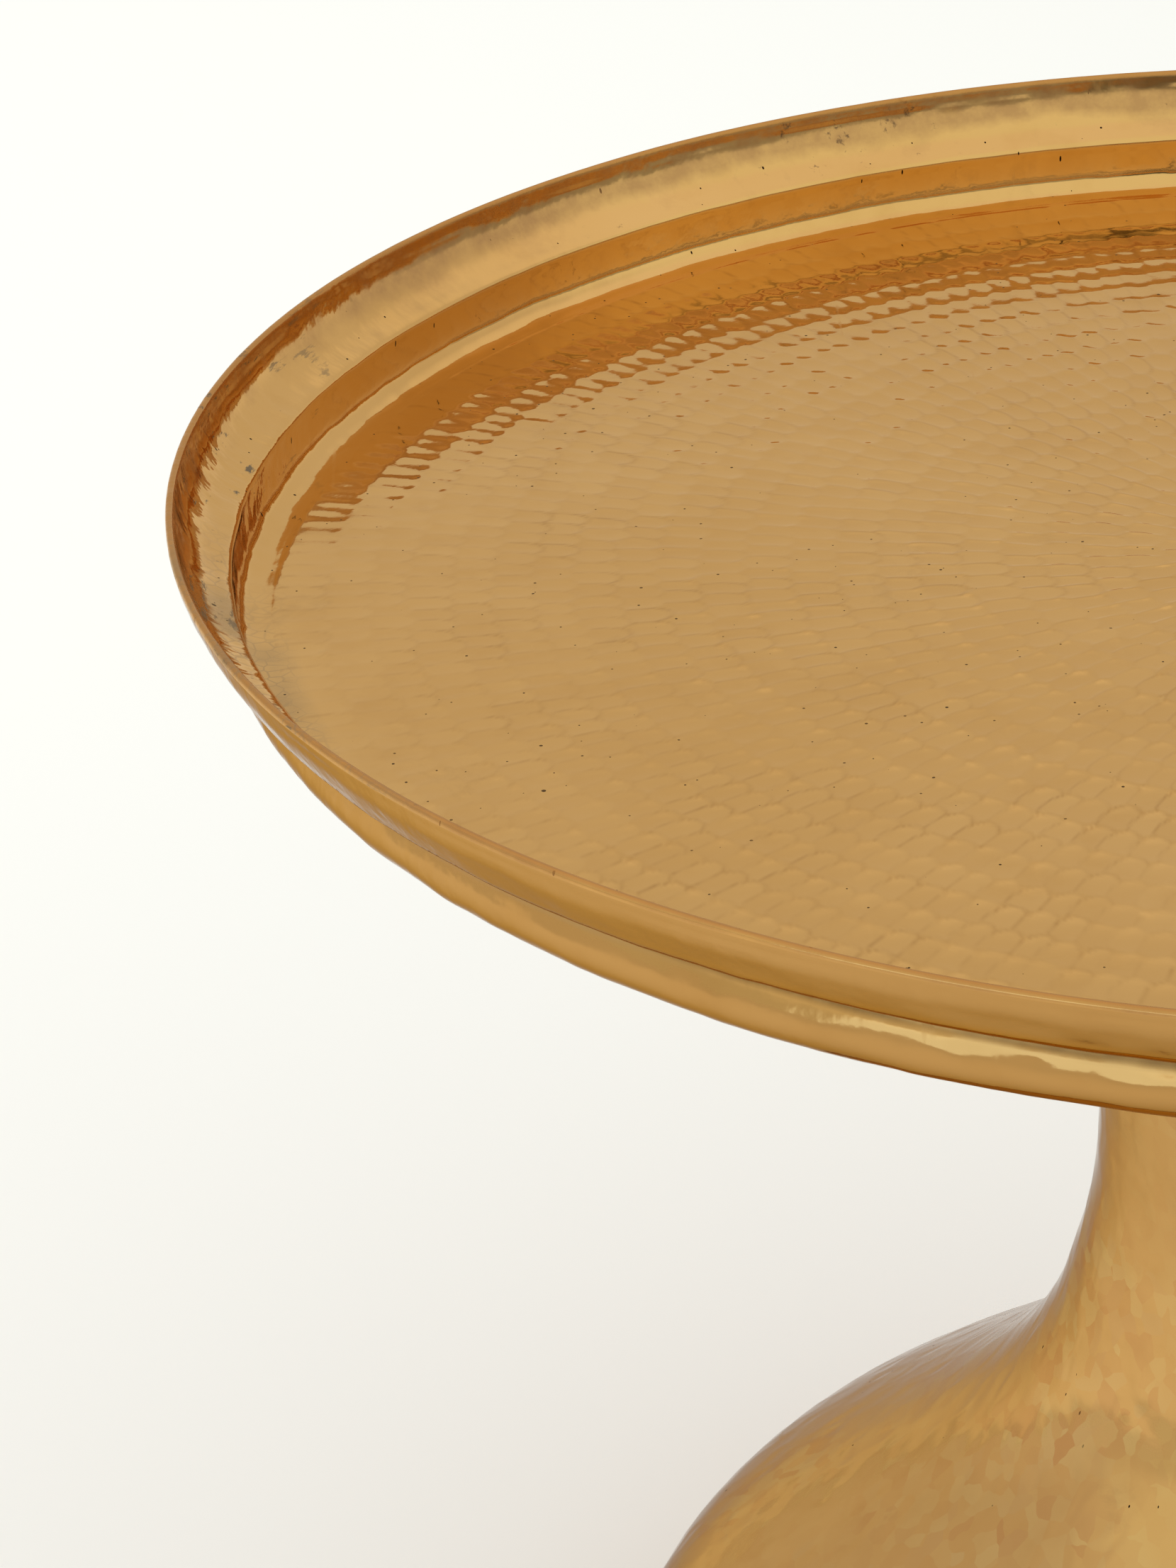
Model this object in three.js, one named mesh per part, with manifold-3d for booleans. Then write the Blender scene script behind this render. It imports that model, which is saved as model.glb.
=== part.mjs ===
// Hammered brass tray table: a loose round tray on a waisted sheet-brass pedestal.
// Millimetres, +Z up. Origin on the floor, on the table's axis.

import * as THREE from 'three';
import { mergeVertices } from 'three/addons/utils/BufferGeometryUtils.js';
import Module from 'manifold-3d';

// ---------------------------------------------------------------- dimensions
const TABLE_H = 445;          // floor to the lip of the tray
const TRAY_R = 300;           // outer radius of the lip
const TRAY_T = 1.7;           // brass sheet of the tray
const TRAY_DEPTH = 35.0;      // lip to the underside of the floor
const SHELL_T = 1.5;          // brass sheet of the pedestal
const GAP = 0.3;              // play left between touching pieces

const FELT_T = 3.0;           // felt ring between the tray and its seat
const FELT_RI = 70;
const FELT_RO = 102;
const SEAT_T = 4.0;           // steel seat plate
const SEAT_RI = 63.5;
const SEAT_RO = 104;
const COLLAR_RO = 61;         // collar under the tray, drops into the seat plate
const COLLAR_T = 1.8;
const COLLAR_H = 19;
const COLLAR_FLANGE_RI = 48;

const SCREW_N = 4;            // countersunk screws, seat plate to pedestal flange
const SCREW_PCR = 84;
const SCREW_R = 2.5;
const SCREW_HEAD_R = 4.7;
const NUT_AF = 8;             // across flats
const NUT_H = 4;

const SEAM_Z = 300;           // butt seam between the two pedestal shells
const SLEEVE_T = 1.5;         // sleeve brazed inside, bridging the seam

const FOOT_RING_RO = 207.6;   // steel ring brazed inside the foot edge
const FOOT_RING_RI = 186;
const FOOT_RING_Z = 4.0;
const FOOT_RING_T = 2.5;
const GLIDE_N = 6;            // rubber glides pushed through the foot ring
const GLIDE_PCR = 197;
const GLIDE_R = 8.5;
const GLIDE_H = 3.7;
const GLIDE_STEM_R = 2.5;

const SEG_TRAY = 56;
const SEG_SHELL = 40;
const SEG_RING = 40;        // same count as the shells, so nested rings keep their play
const SEG_SMALL = 10;

// Levels worked out from the dimensions above.
const TRAY_BOTTOM = TABLE_H - TRAY_DEPTH;            // 410
const FELT_TOP = TRAY_BOTTOM - GAP;
const FELT_BOTTOM = FELT_TOP - FELT_T;
const SEAT_TOP = FELT_BOTTOM - GAP;
const SEAT_BOTTOM = SEAT_TOP - SEAT_T;
const FLANGE_TOP = SEAT_BOTTOM - GAP;                // top of the pedestal

// ---------------------------------------------------------------- helpers
const wasm = await Module();
wasm.setup();

// Position-only, welded, no collapsed triangles, faces pointing out.
function clean(geometry) {
  const g0 = geometry.index ? geometry.clone() : geometry.clone();
  g0.deleteAttribute('normal');
  g0.deleteAttribute('uv');
  const g = mergeVertices(g0, 1e-4);
  const p = g.attributes.position.array;
  const src = g.index.array;
  const tri = [];
  let vol = 0;
  for (let i = 0; i < src.length; i += 3) {
    const a = src[i], b = src[i + 1], c = src[i + 2];
    if (a === b || b === c || c === a) continue;
    tri.push(a, b, c);
    const ax = p[3 * a], ay = p[3 * a + 1], az = p[3 * a + 2];
    const bx = p[3 * b], by = p[3 * b + 1], bz = p[3 * b + 2];
    const cx = p[3 * c], cy = p[3 * c + 1], cz = p[3 * c + 2];
    vol += ax * (by * cz - bz * cy) - ay * (bx * cz - bz * cx) + az * (bx * cy - by * cx);
  }
  if (vol < 0) for (let i = 0; i < tri.length; i += 3) [tri[i + 1], tri[i + 2]] = [tri[i + 2], tri[i + 1]];
  const out = new THREE.BufferGeometry();
  out.setAttribute('position', new THREE.BufferAttribute(Float32Array.from(p), 3));
  out.setIndex(tri);
  return out;
}

// Solid of revolution about +Z from [radius, z] points. The outline either
// starts and ends on the axis or is closed here onto its first point.
function lathe(points, segments) {
  const pts = points.map(([r, z]) => new THREE.Vector2(r, z));
  const onAxis = points[0][0] === 0 && points[points.length - 1][0] === 0;
  if (!onAxis) pts.push(pts[0].clone());
  const g = new THREE.LatheGeometry(pts, segments);
  g.rotateX(Math.PI / 2);
  return clean(g);
}

function toManifold(geometry) {
  return new wasm.Manifold(new wasm.Mesh({
    numProp: 3,
    vertProperties: Float32Array.from(geometry.attributes.position.array),
    triVerts: Uint32Array.from(geometry.index.array),
  }));
}

function fromManifold(solid) {
  const m = solid.getMesh();
  const g = new THREE.BufferGeometry();
  const pos = new Float32Array(m.numVert * 3);
  for (let i = 0; i < m.numVert; i++)
    for (let k = 0; k < 3; k++) pos[3 * i + k] = m.vertProperties[i * m.numProp + k];
  g.setAttribute('position', new THREE.BufferAttribute(pos, 3));
  g.setIndex(Array.from(m.triVerts));
  return g;
}

// Take a copy of `tool` away at `n` places spaced evenly on a circle.
function subtractAround(body, tool, n, radius, phase) {
  let solid = toManifold(body);
  for (let i = 0; i < n; i++) {
    const a = phase + (2 * Math.PI * i) / n;
    const t = tool.clone().translate(radius * Math.cos(a), radius * Math.sin(a), 0);
    solid = solid.subtract(toManifold(t));
  }
  return fromManifold(solid);
}

const table = new THREE.Group();
function add(parent, name, geometry, material) {
  geometry.computeVertexNormals();
  const mesh = new THREE.Mesh(geometry, material);
  mesh.name = name;
  parent.add(mesh);
  return mesh;
}
const brass = () => new THREE.MeshStandardMaterial({ color: 0xc89a55, metalness: 1.0, roughness: 0.28 });
const steel = () => new THREE.MeshStandardMaterial({ color: 0x9a9a98, metalness: 1.0, roughness: 0.45 });
const felt = () => new THREE.MeshStandardMaterial({ color: 0x2c3a2c, metalness: 0.0, roughness: 0.95 });
const rubber = () => new THREE.MeshStandardMaterial({ color: 0x1c1c1c, metalness: 0.0, roughness: 0.8 });

// ---------------------------------------------------------------- tray
// Outside of the sheet from the lip down to the flat underside, then the
// inside back up: a flared rim, a rolled groove, a bellied wall, a round corner.
const trayOutside = [
  [300.0, -1.0], [298.9, -6.0], [295.2, -12.0], [293.3, -14.8],
  [289.0, -17.0], [286.5, -18.2], [287.9, -21.2], [287.6, -25.4],
  [285.8, -30.4], [283.3, -33.1], [280.4, -34.5], [276.6, -35.0],
];
const trayInside = [
  [297.1, -6.3], [293.0, -12.8], [288.4, -15.6], [284.6, -18.0], [286.0, -22.0], [285.6, -25.6],
  [284.0, -29.6], [282.2, -31.7], [279.6, -32.9], [276.6, -33.3],
];
const lip = [[299.1, 0], [298.3, -0.8]];
const trayOutline = [
  [0, -TRAY_DEPTH],
  ...trayOutside.slice().reverse(),
  ...lip,
  ...trayInside,
  [0, -TRAY_DEPTH + TRAY_T],
].map(([r, z]) => [r * (TRAY_R / 300), z]);
const tray = add(table, 'tray', lathe(trayOutline, SEG_TRAY), brass());
tray.position.z = TABLE_H;

// Collar soldered under the tray; it drops into the seat plate and centres it.
const collarTop = TRAY_BOTTOM - GAP;
add(table, 'tray_collar', lathe([
  [COLLAR_FLANGE_RI, collarTop], [COLLAR_RO, collarTop],
  [COLLAR_RO, collarTop - COLLAR_H], [COLLAR_RO - COLLAR_T, collarTop - COLLAR_H],
  [COLLAR_RO - COLLAR_T, collarTop - COLLAR_T], [COLLAR_FLANGE_RI, collarTop - COLLAR_T],
], SEG_RING), brass());

// ---------------------------------------------------------------- seat
add(table, 'seat_felt', lathe([
  [FELT_RI, FELT_BOTTOM], [FELT_RO, FELT_BOTTOM], [FELT_RO, FELT_TOP], [FELT_RI, FELT_TOP],
], SEG_RING), felt());

const sinkDepth = SCREW_HEAD_R - SCREW_R;
const screwPhase = Math.PI / 4;
const sinkCutter = lathe([
  [0, SEAT_BOTTOM - 5], [SCREW_R + GAP, SEAT_BOTTOM - 5],
  [SCREW_R + GAP, SEAT_TOP - 0.2 - sinkDepth], [SCREW_HEAD_R + GAP, SEAT_TOP - 0.2],
  [SCREW_HEAD_R + GAP, SEAT_TOP + 1], [0, SEAT_TOP + 1],
], SEG_SMALL);
const seatBlank = lathe([
  [SEAT_RI, SEAT_BOTTOM], [SEAT_RO, SEAT_BOTTOM], [SEAT_RO, SEAT_TOP], [SEAT_RI, SEAT_TOP],
], SEG_RING);
add(table, 'seat_plate', subtractAround(seatBlank, sinkCutter, SCREW_N, SCREW_PCR, screwPhase), steel());

const screwEnd = SEAT_BOTTOM - SHELL_T - NUT_H - 3.5;
const screwShape = lathe([
  [0, screwEnd], [SCREW_R - 0.4, screwEnd], [SCREW_R, screwEnd + 0.6],
  [SCREW_R, SEAT_TOP - 0.2 - sinkDepth], [SCREW_HEAD_R, SEAT_TOP - 0.2], [0, SEAT_TOP - 0.2],
], SEG_SMALL);
const hex = new THREE.Shape();
for (let i = 0; i < 6; i++) {
  const a = (Math.PI / 3) * i, r = NUT_AF / 2 / Math.cos(Math.PI / 6);
  if (i) hex.lineTo(r * Math.cos(a), r * Math.sin(a)); else hex.moveTo(r, 0);
}
hex.closePath();
const nutBore = new THREE.Path();
nutBore.absarc(0, 0, SCREW_R + GAP, 0, 2 * Math.PI, true);
hex.holes.push(nutBore);
const nutTop = FLANGE_TOP - SHELL_T - GAP;
const nutShape = clean(new THREE.ExtrudeGeometry(hex, { depth: NUT_H, bevelEnabled: false, curveSegments: 12 })
  .translate(0, 0, nutTop - NUT_H));
for (let i = 0; i < SCREW_N; i++) {
  const a = screwPhase + (2 * Math.PI * i) / SCREW_N;
  const x = SCREW_PCR * Math.cos(a), y = SCREW_PCR * Math.sin(a);
  add(table, `seat_screw_${i + 1}`, screwShape.clone(), steel()).position.set(x, y, 0);
  add(table, `seat_nut_${i + 1}`, nutShape.clone(), steel()).position.set(x, y, 0);
}

// ---------------------------------------------------------------- pedestal
// Upper shell: a trumpet from the seam up to a flat in-turned flange.
const upperOutside = [
  [71.3, SEAM_Z + GAP / 2], [76.6, 320], [84.2, 342], [95.6, 369.5], [105.3, 392.5],
  [107.2, FLANGE_TOP - 3.4], [106.4, FLANGE_TOP - 1.0], [104.6, FLANGE_TOP],
];
const upperInside = [
  [69.8, SEAM_Z + GAP / 2], [75.2, 320.6], [82.8, 342.7], [94.2, 370.2], [103.7, 393.0],
];
const upperOutline = [
  ...upperOutside,
  [68, FLANGE_TOP], [68, FLANGE_TOP - SHELL_T],
  [103.4, FLANGE_TOP - SHELL_T],
  ...upperInside.slice().reverse(),
];
const screwHole = lathe([
  [0, FLANGE_TOP - 6], [SCREW_R + GAP, FLANGE_TOP - 6], [SCREW_R + GAP, FLANGE_TOP + 2], [0, FLANGE_TOP + 2],
], SEG_SMALL);
add(table, 'pedestal_upper',
  subtractAround(lathe(upperOutline, SEG_SHELL), screwHole, SCREW_N, SCREW_PCR, screwPhase), brass());

// Sleeve brazed inside, following the flare across the seam.
const sleeveOutside = [[66.2, SEAM_Z - 16], [69.2, SEAM_Z], [72.9, SEAM_Z + 15]];
add(table, 'waist_sleeve', lathe([
  ...sleeveOutside,
  ...sleeveOutside.slice().reverse().map(([r, z]) => [r - SLEEVE_T, z]),
], SEG_RING), brass());

// Lower shell: from the seam through the waist to a full, rounded foot whose
// edge is folded back inside on itself.
const lowerOutside = [
  [71.3, SEAM_Z - GAP / 2], [67.6, 280], [65.6, 257], [65.4, 243], [66.4, 226], [70.6, 203.5], [77.4, 181],
  [86.4, 163], [99.4, 145], [117.4, 127], [140.2, 108], [170.0, 85], [188.5, 68.5], [200.0, 53],
  [207.2, 34.5], [210.8, 14], [211.0, 3.0],
];
const lowerInside = [
  [69.8, SEAM_Z - GAP / 2], [66.2, 281], [63.9, 248], [66.4, 217], [72.0, 193], [85.1, 162.3], [104.6, 137.4],
  [134.6, 110.6], [169.0, 83.9], [187.3, 67.5], [198.7, 52.1], [205.8, 34], [208.8, 17],
];
const lowerOutline = [
  ...lowerOutside,
  [208.0, 3.0], [208.0, 12.5],
  ...lowerInside.slice().reverse(),
];
add(table, 'pedestal_lower', lathe(lowerOutline, SEG_SHELL), brass());

// ---------------------------------------------------------------- foot
const glidePhase = 0;
const footBlank = lathe([
  [FOOT_RING_RI, FOOT_RING_Z], [FOOT_RING_RO, FOOT_RING_Z],
  [FOOT_RING_RO, FOOT_RING_Z + FOOT_RING_T], [FOOT_RING_RI, FOOT_RING_Z + FOOT_RING_T],
], SEG_RING);
const stemHole = lathe([
  [0, FOOT_RING_Z - 2], [GLIDE_STEM_R + GAP, FOOT_RING_Z - 2],
  [GLIDE_STEM_R + GAP, FOOT_RING_Z + FOOT_RING_T + 2], [0, FOOT_RING_Z + FOOT_RING_T + 2],
], SEG_SMALL);
add(table, 'foot_ring', subtractAround(footBlank, stemHole, GLIDE_N, GLIDE_PCR, glidePhase), steel());

const headBottom = FOOT_RING_Z + FOOT_RING_T + GAP;
const glideShape = lathe([
  [0, 0], [GLIDE_R - 1, 0], [GLIDE_R, 1], [GLIDE_R, GLIDE_H], [GLIDE_STEM_R, GLIDE_H],
  [GLIDE_STEM_R, headBottom], [GLIDE_STEM_R + 1.5, headBottom],
  [GLIDE_STEM_R + 0.4, headBottom + 2.2], [0, headBottom + 2.2],
], SEG_SMALL);
for (let i = 0; i < GLIDE_N; i++) {
  const a = glidePhase + (2 * Math.PI * i) / GLIDE_N;
  add(table, `glide_${i + 1}`, glideShape.clone(), rubber())
    .position.set(GLIDE_PCR * Math.cos(a), GLIDE_PCR * Math.sin(a), 0);
}

export default table;
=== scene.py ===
# Hammered brass tray table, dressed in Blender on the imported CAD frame. Metres, +Z up.
import math
import bpy
import numpy as np
from mathutils import Matrix, Vector


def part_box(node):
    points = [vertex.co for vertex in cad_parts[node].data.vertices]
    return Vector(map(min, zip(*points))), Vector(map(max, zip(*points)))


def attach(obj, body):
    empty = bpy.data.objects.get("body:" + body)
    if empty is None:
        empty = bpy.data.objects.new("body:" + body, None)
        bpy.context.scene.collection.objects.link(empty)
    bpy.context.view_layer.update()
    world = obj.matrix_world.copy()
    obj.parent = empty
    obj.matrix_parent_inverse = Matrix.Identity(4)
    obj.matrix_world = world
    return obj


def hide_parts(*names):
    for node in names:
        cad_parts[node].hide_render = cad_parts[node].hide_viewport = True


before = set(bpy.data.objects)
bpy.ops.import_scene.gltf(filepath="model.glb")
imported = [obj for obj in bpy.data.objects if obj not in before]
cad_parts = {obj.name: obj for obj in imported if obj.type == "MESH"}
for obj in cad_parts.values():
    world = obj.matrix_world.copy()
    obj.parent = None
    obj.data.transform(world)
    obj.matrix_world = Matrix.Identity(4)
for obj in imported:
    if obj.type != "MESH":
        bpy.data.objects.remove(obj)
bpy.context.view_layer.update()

TAU = 2 * math.pi
rng = np.random.default_rng(71)

# ------------------------------------------------------------------ levels from the frame
tray_lo, tray_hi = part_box("tray")
RIM_R = float(tray_hi.x)                 # radius of the tray's lip
TOP_Z = float(tray_hi.z)                 # height of the lip
UNDER_Z = float(tray_lo.z)               # underside of the tray
S = RIM_R / 0.300                        # everything below is drawn for a 300 mm radius
low_lo, low_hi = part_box("pedestal_lower")
up_lo, up_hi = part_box("pedestal_upper")

# ------------------------------------------------------------------ helpers
def smooth(x, a, b):
    t = np.clip((x - a) / (b - a), 0.0, 1.0)
    return t * t * (3 - 2 * t)


def fine(points, step):
    """A smooth curve (Catmull-Rom) through the points, resampled about every `step`."""
    p = np.asarray(points, float)
    q = np.vstack([2 * p[0] - p[1], p, 2 * p[-1] - p[-2]])
    out = []
    for i in range(1, len(q) - 2):
        p0, p1, p2, p3 = q[i - 1], q[i], q[i + 1], q[i + 2]
        d = [max(np.linalg.norm(b - a) ** 0.5, 1e-6) for a, b in ((p0, p1), (p1, p2), (p2, p3))]
        t0, t1 = 0.0, d[0]
        t2 = t1 + d[1]
        t3 = t2 + d[2]
        n = max(1, int(math.ceil(np.linalg.norm(p2 - p1) / step)))
        for k in range(n):
            t = t1 + (t2 - t1) * k / n
            a1 = (t1 - t) / (t1 - t0) * p0 + (t - t0) / (t1 - t0) * p1
            a2 = (t2 - t) / (t2 - t1) * p1 + (t - t1) / (t2 - t1) * p2
            a3 = (t3 - t) / (t3 - t2) * p2 + (t - t2) / (t3 - t2) * p3
            b1 = (t2 - t) / (t2 - t0) * a1 + (t - t0) / (t2 - t0) * a2
            b2 = (t3 - t) / (t3 - t1) * a2 + (t - t1) / (t3 - t1) * a3
            out.append((t2 - t) / (t2 - t1) * b1 + (t - t1) / (t2 - t1) * b2)
    out.append(p[-1])
    return np.array(out)


def normals2(p):
    """Left-hand normals of an open outline."""
    t = np.gradient(p, axis=0)
    t /= np.maximum(np.linalg.norm(t, axis=1, keepdims=True), 1e-12)
    return np.stack([-t[:, 1], t[:, 0]], 1)


def periodic_noise(theta, s, cells, length, seed, period_s=None):
    """Value noise on (theta, s): `cells` cells round the circle, `length` along s."""
    g = np.random.default_rng(seed)
    rows = int(np.ceil((s.max() - s.min()) / length)) + 4
    v = g.uniform(-1, 1, (rows, cells))
    a = (theta / TAU * cells) % cells
    b = (s - s.min()) / length + 1
    i, j = np.floor(a).astype(int) % cells, np.floor(b).astype(int)
    fa, fb = a - np.floor(a), b - np.floor(b)
    fa, fb = fa * fa * (3 - 2 * fa), fb * fb * (3 - 2 * fb)
    i1 = (i + 1) % cells
    return ((v[j, i] * (1 - fa) + v[j, i1] * fa) * (1 - fb)
            + (v[j + 1, i] * (1 - fa) + v[j + 1, i1] * fa) * fb)


def revolve(name, prof, nseg, disp=None, close=False, pole=()):
    """A surface of revolution from (r, z) rows, each pushed along its 2-D normal by
    disp[row, column]. `pole` rows collapse to one vertex ("first", "last")."""
    prof = np.asarray(prof, float)
    nrm = normals2(prof)
    th = np.arange(nseg) / nseg * TAU
    if disp is None:
        disp = np.zeros((len(prof), nseg))
    R = prof[:, :1] + nrm[:, :1] * disp
    Z = prof[:, 1:] + nrm[:, 1:] * disp
    X, Y = R * np.cos(th), R * np.sin(th)
    co = np.stack([X, Y, Z], 2)
    n = len(prof)
    base = np.arange(n * nseg).reshape(n, nseg)
    a = base[:-1] if not close else base
    b = np.roll(base, -1, 0)[:-1] if not close else np.roll(base, -1, 0)
    q = np.stack([a, np.roll(a, -1, 1), np.roll(b, -1, 1), b], 2).reshape(-1, 4)
    verts = co.reshape(-1, 3)
    faces = q
    tris = np.zeros((0, 3), int)
    extra = []
    for end in pole:
        row = base[0] if end == "first" else base[-1]
        k = len(verts) + len(extra)
        z = Z[0 if end == "first" else -1].mean()
        extra.append([0.0, 0.0, z])
        t = np.stack([np.full(nseg, k), np.roll(row, -1), row], 1)
        if end == "last":
            t = t[:, ::-1]
        tris = np.vstack([tris, t])
    if extra:
        verts = np.vstack([verts, extra])
    me = bpy.data.meshes.new(name)
    me.vertices.add(len(verts))
    me.vertices.foreach_set("co", verts.astype(np.float32).ravel())
    nl = len(faces) * 4 + len(tris) * 3
    me.loops.add(nl)
    me.loops.foreach_set("vertex_index", np.concatenate([faces.ravel(), tris.ravel()]).astype(np.int32))
    npoly = len(faces) + len(tris)
    me.polygons.add(npoly)
    starts = np.concatenate([np.arange(len(faces)) * 4, len(faces) * 4 + np.arange(len(tris)) * 3])
    me.polygons.foreach_set("loop_start", starts.astype(np.int32))
    me.polygons.foreach_set("use_smooth", np.ones(npoly, bool))
    me.update(calc_edges=True)
    me.validate()
    ob = bpy.data.objects.new(name, me)
    bpy.context.scene.collection.objects.link(ob)
    return ob


# ------------------------------------------------------------------ materials
def new_mat(name):
    m = bpy.data.materials.new(name)
    m.use_nodes = True
    nt = m.node_tree
    bsdf = nt.nodes["Principled BSDF"]
    return m, nt, bsdf


def node(nt, kind, **kw):
    n = nt.nodes.new(kind)
    for k, v in kw.items():
        if k in n.inputs:
            n.inputs[k].default_value = v
        else:
            setattr(n, k, v)
    return n


def ramp(nt, src, stops):
    r = nt.nodes.new("ShaderNodeValToRGB")
    while len(r.color_ramp.elements) < len(stops):
        r.color_ramp.elements.new(0.5)
    for e, (p, c) in zip(r.color_ramp.elements, stops):
        e.position = p
        e.color = (*c, 1.0) if len(c) == 3 else c
    nt.links.new(src, r.inputs[0])
    return r.outputs[0]


def mixc(nt, fac, a, b, blend="MIX"):
    m = nt.nodes.new("ShaderNodeMix")
    m.data_type = "RGBA"
    m.blend_type = blend
    for v, i in ((fac, 0), (a, 6), (b, 7)):
        if isinstance(v, (int, float)):
            m.inputs[i].default_value = v
        elif isinstance(v, tuple):
            m.inputs[i].default_value = (*v, 1.0)
        else:
            nt.links.new(v, m.inputs[i])
    return m.outputs[2]


def math_(nt, op, a, b=None, clamp=False):
    m = nt.nodes.new("ShaderNodeMath")
    m.operation = op
    m.use_clamp = clamp
    for v, i in ((a, 0), (b, 1)):
        if v is None:
            continue
        if isinstance(v, (int, float)):
            m.inputs[i].default_value = v
        else:
            nt.links.new(v, m.inputs[i])
    return m.outputs[0]


def map_range(nt, src, a, b, c, d):
    m = nt.nodes.new("ShaderNodeMapRange")
    m.inputs[1].default_value, m.inputs[2].default_value = a, b
    m.inputs[3].default_value, m.inputs[4].default_value = c, d
    nt.links.new(src, m.inputs[0])
    return m.outputs[0]


def coords(nt, scale=(1, 1, 1)):
    tc = nt.nodes.new("ShaderNodeTexCoord")
    mp = nt.nodes.new("ShaderNodeMapping")
    mp.inputs["Scale"].default_value = scale
    nt.links.new(tc.outputs["Object"], mp.inputs[0])
    return mp.outputs[0]


def noise(nt, vec, scale, detail=3.0, rough=0.5, dist=0.0):
    n = nt.nodes.new("ShaderNodeTexNoise")
    n.inputs["Scale"].default_value = scale
    n.inputs["Detail"].default_value = detail
    n.inputs["Roughness"].default_value = rough
    n.inputs["Distortion"].default_value = dist
    nt.links.new(vec, n.inputs["Vector"])
    return n.outputs[0]


def radius_height(nt):
    tc = nt.nodes.new("ShaderNodeTexCoord")
    sx = nt.nodes.new("ShaderNodeSeparateXYZ")
    nt.links.new(tc.outputs["Object"], sx.inputs[0])
    r2 = math_(nt, "ADD", math_(nt, "MULTIPLY", sx.outputs[0], sx.outputs[0]),
               math_(nt, "MULTIPLY", sx.outputs[1], sx.outputs[1]))
    return math_(nt, "SQRT", r2), sx.outputs[2]


def ringwise(nt, around, upward):
    """Seamless coordinates round the axis: `around` and `upward` are cells per metre."""
    tc = nt.nodes.new("ShaderNodeTexCoord")
    flat_ = nt.nodes.new("ShaderNodeVectorMath")
    flat_.operation = "MULTIPLY"
    flat_.inputs[1].default_value = (1, 1, 0)
    nt.links.new(tc.outputs["Object"], flat_.inputs[0])
    unit = nt.nodes.new("ShaderNodeVectorMath")
    unit.operation = "NORMALIZE"
    nt.links.new(flat_.outputs[0], unit.inputs[0])
    wide = nt.nodes.new("ShaderNodeVectorMath")
    wide.operation = "SCALE"
    wide.inputs[3].default_value = 0.29 * around
    nt.links.new(unit.outputs[0], wide.inputs[0])
    sx = nt.nodes.new("ShaderNodeSeparateXYZ")
    nt.links.new(tc.outputs["Object"], sx.inputs[0])
    up = nt.nodes.new("ShaderNodeCombineXYZ")
    nt.links.new(math_(nt, "MULTIPLY", sx.outputs[2], upward), up.inputs[2])
    both = nt.nodes.new("ShaderNodeVectorMath")
    nt.links.new(wide.outputs[0], both.inputs[0])
    nt.links.new(up.outputs[0], both.inputs[1])
    return both.outputs[0], unit.outputs[0]


def sector(nt, unit, deg, lo, hi):
    """1 in the part of the circle round the direction `deg`, fading out."""
    d = nt.nodes.new("ShaderNodeVectorMath")
    d.operation = "DOT_PRODUCT"
    d.inputs[1].default_value = (math.cos(math.radians(deg)), math.sin(math.radians(deg)), 0)
    nt.links.new(unit, d.inputs[0])
    return map_range(nt, d.outputs["Value"], lo, hi, 0.0, 1.0)


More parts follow.
